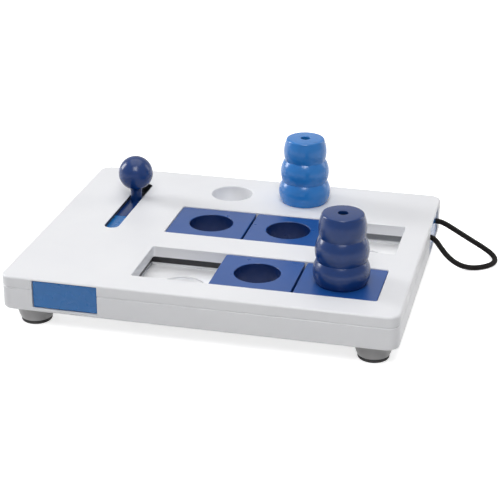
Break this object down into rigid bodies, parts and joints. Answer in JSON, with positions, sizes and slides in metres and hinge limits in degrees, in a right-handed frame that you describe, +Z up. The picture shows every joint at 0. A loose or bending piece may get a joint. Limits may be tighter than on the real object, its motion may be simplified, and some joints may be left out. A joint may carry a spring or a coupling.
{
  "type": "dog puzzle feeder toy",
  "caption": "Flat white puzzle feeder on feet, with tracks of sliding blue tiles, treat wells under lift-off ringed cones, a ball-lever drawer and a rope-pull drawer.",
  "frame": {"origin": "on the table under the middle of the case's footprint", "axes": "+X along the long side to the rope pull, +Y to the wells at the back, +Z up"},
  "size_m": [0.2936, 0.2, 0.0813],
  "materials": {
    "white_plastic": "satin moulded",
    "grey_plastic": "satin moulded",
    "light_blue_plastic": "satin moulded",
    "navy_plastic": "satin moulded",
    "black_rubber": "matte",
    "rope": "braided",
    "screw_steel": "zinc plated"
  },
  "bodies": {
    "housing": {"base_shell": "white_plastic", "back_track": "white_plastic", "front_track": "white_plastic", "cover_left": "white_plastic", "cover_right": "white_plastic", "cover_front": "white_plastic", "cover_middle": "white_plastic", "cover_back_left": "white_plastic", "cover_back_middle": "white_plastic", "cover_back_right": "white_plastic", "well_cup_left": "white_plastic", "well_cup_right": "white_plastic", "case_screws": "screw_steel", "foot_screws": "screw_steel", "foot_front_left": "grey_plastic", "foot_front_right": "grey_plastic", "foot_back_left": "grey_plastic", "foot_back_right": "grey_plastic", "foot_pad_front_left": "black_rubber", "foot_pad_front_right": "black_rubber", "foot_pad_back_left": "black_rubber", "foot_pad_back_right": "black_rubber"},
    "tile_back_left": {"tile_back_left": "navy_plastic"},
    "tile_back_middle": {"tile_back_middle": "navy_plastic"},
    "tile_front_middle": {"tile_front_middle": "navy_plastic"},
    "tile_front_right": {"tile_front_right": "navy_plastic"},
    "light_cone": {"light_cone": "light_blue_plastic"},
    "dark_cone": {"dark_cone": "navy_plastic"},
    "lever_drawer": {"lever_drawer": "light_blue_plastic", "lever": "navy_plastic", "lever_screws": "screw_steel"},
    "rope_drawer": {"rope_drawer": "light_blue_plastic", "pull_rope": "rope", "rope_knot_near": "rope", "rope_knot_far": "rope"}
  },
  "joints": [
    {"name": "back_middle_slide", "type": "slide", "parent": "housing", "child": "tile_back_middle", "axis": [1, 0, 0], "range_m": [0, 0.0486]},
    {"name": "back_left_slide", "type": "slide", "parent": "housing", "child": "tile_back_left", "axis": [1, 0, 0], "range_m": [0, 0.0486]},
    {"name": "front_middle_slide", "type": "slide", "parent": "housing", "child": "tile_front_middle", "axis": [-1, 0, 0], "range_m": [0, 0.0485]},
    {"name": "front_right_slide", "type": "slide", "parent": "housing", "child": "tile_front_right", "axis": [-1, 0, 0], "range_m": [0, 0.0485]},
    {"name": "light_cone_lift", "type": "slide", "parent": "housing", "child": "light_cone", "axis": [0, 0, 1], "range_m": [0, 0.06]},
    {"name": "dark_cone_lift", "type": "slide", "parent": "tile_front_right", "child": "dark_cone", "axis": [0, 0, 1], "range_m": [0, 0.06]},
    {"name": "lever_drawer_slide", "type": "slide", "parent": "housing", "child": "lever_drawer", "axis": [0, -1, 0], "range_m": [0, 0.0535]},
    {"name": "rope_drawer_slide", "type": "slide", "parent": "housing", "child": "rope_drawer", "axis": [1, 0, 0], "range_m": [0, 0.048]}
  ],
  "couplings": [
    {"joint": "back_left_slide", "follows": "back_middle_slide", "ratio": 1},
    {"joint": "front_right_slide", "follows": "front_middle_slide", "ratio": 1}
  ]
}
